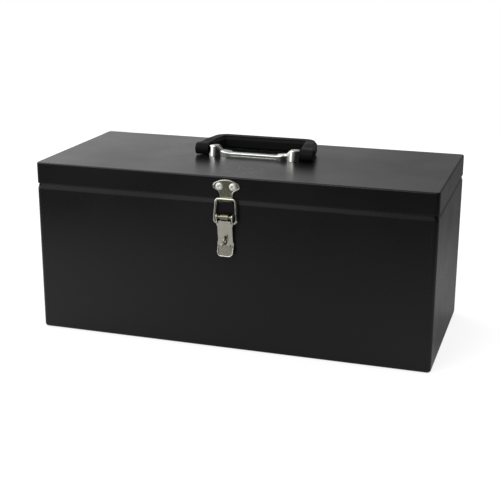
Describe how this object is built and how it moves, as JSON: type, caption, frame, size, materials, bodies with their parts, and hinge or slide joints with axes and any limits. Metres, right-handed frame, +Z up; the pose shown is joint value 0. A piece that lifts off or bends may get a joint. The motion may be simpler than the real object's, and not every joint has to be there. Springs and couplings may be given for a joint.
{
  "type": "steel tool box",
  "caption": "Rectangular sheet-steel hand tool box with a hinged flat lid, a front draw latch with a padlock eye, and a folding moulded handle on a bright strap.",
  "frame": {"origin": "middle of the bottom, on the plane the box stands on", "axes": "+X to the right along the length as seen from the latch, -Y out of the front with the latch, +Z up"},
  "size_m": [0.512, 0.2368, 0.2397],
  "materials": {
    "black_powder_coat": "satin black powder coat over sheet steel",
    "plated_steel": "bright zinc plate with a faint yellow tint",
    "rivet_metal": "bright blind rivets",
    "strap_chrome": "bright plated strip",
    "black_plastic": "moulded satin black"
  },
  "bodies": {
    "box": {"body_wrap": "black_powder_coat", "left_end_panel": "black_powder_coat", "right_end_panel": "black_powder_coat", "hinge_body_leaf": "black_powder_coat", "hinge_pin": "plated_steel", "latch_base": "plated_steel", "latch_base_rivets": "rivet_metal", "padlock_staple": "plated_steel"},
    "lid": {"lid_pan": "black_powder_coat", "hinge_lid_leaf": "black_powder_coat", "keeper_plate": "plated_steel", "keeper_rivets": "rivet_metal", "handle_strap": "strap_chrome", "strap_weld_nuts": "plated_steel", "strap_screws": "plated_steel", "handle_backing_plate": "plated_steel"},
    "lever": {"latch_lever": "plated_steel", "lever_pin": "plated_steel"},
    "bail": {"bail_wire": "plated_steel"},
    "handle": {"handle_grip": "black_plastic", "left_pivot_pin": "plated_steel", "right_pivot_pin": "plated_steel"}
  },
  "joints": [
    {"name": "lid_hinge", "type": "hinge", "parent": "box", "child": "lid", "pos_m": [0, 0.10895, 0.1924], "axis": [-1, 0, 0], "range_deg": [0, 105]},
    {"name": "latch_lift", "type": "hinge", "parent": "box", "child": "lever", "pos_m": [0, -0.119, 0.1735], "axis": [-1, 0, 0], "range_deg": [0, 100]},
    {"name": "bail_swing", "type": "hinge", "parent": "lever", "child": "bail", "pos_m": [0, -0.1175, 0.1662], "axis": [-1, 0, 0], "range_deg": [-100, 0]},
    {"name": "handle_fold", "type": "hinge", "parent": "lid", "child": "handle", "pos_m": [0, 0, 0.2304], "axis": [1, 0, 0], "range_deg": [0, 176]}
  ],
  "couplings": [
    {"joint": "bail_swing", "follows": "latch_lift", "ratio": -1}
  ]
}
